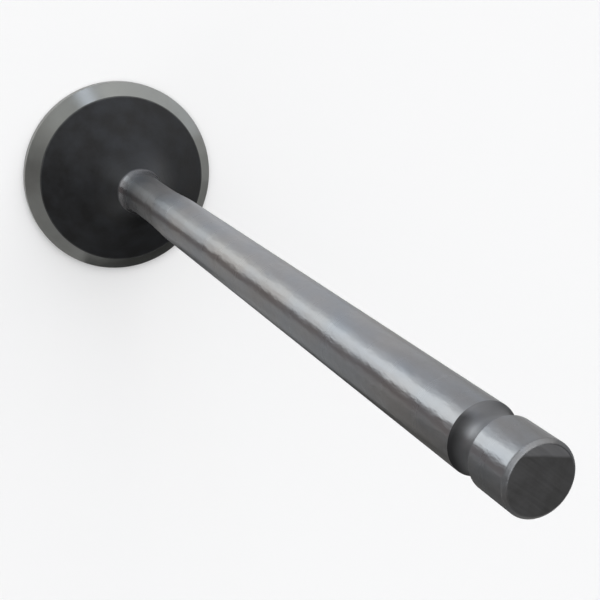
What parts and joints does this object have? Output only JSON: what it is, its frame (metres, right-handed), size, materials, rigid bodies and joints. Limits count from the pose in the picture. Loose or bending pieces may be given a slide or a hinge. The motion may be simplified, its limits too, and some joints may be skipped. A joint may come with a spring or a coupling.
{
  "type": "engine valve",
  "caption": "One-piece poppet valve with a tulip head, ground stem and rounded keeper groove; seals an engine port and slides in a valve guide.",
  "frame": {"origin": "centre of the combustion face, the flat face that the valve stands on", "axes": "+Z along the stem from the combustion face to the tip; X and Y are free, because the valve is round"},
  "size_m": [0.042, 0.042, 0.165],
  "materials": {
    "valve_steel": "ground stem and seat face, dark as-forged underhead"
  },
  "bodies": {
    "root": {"valve": "valve_steel"}
  },
  "joints": []
}
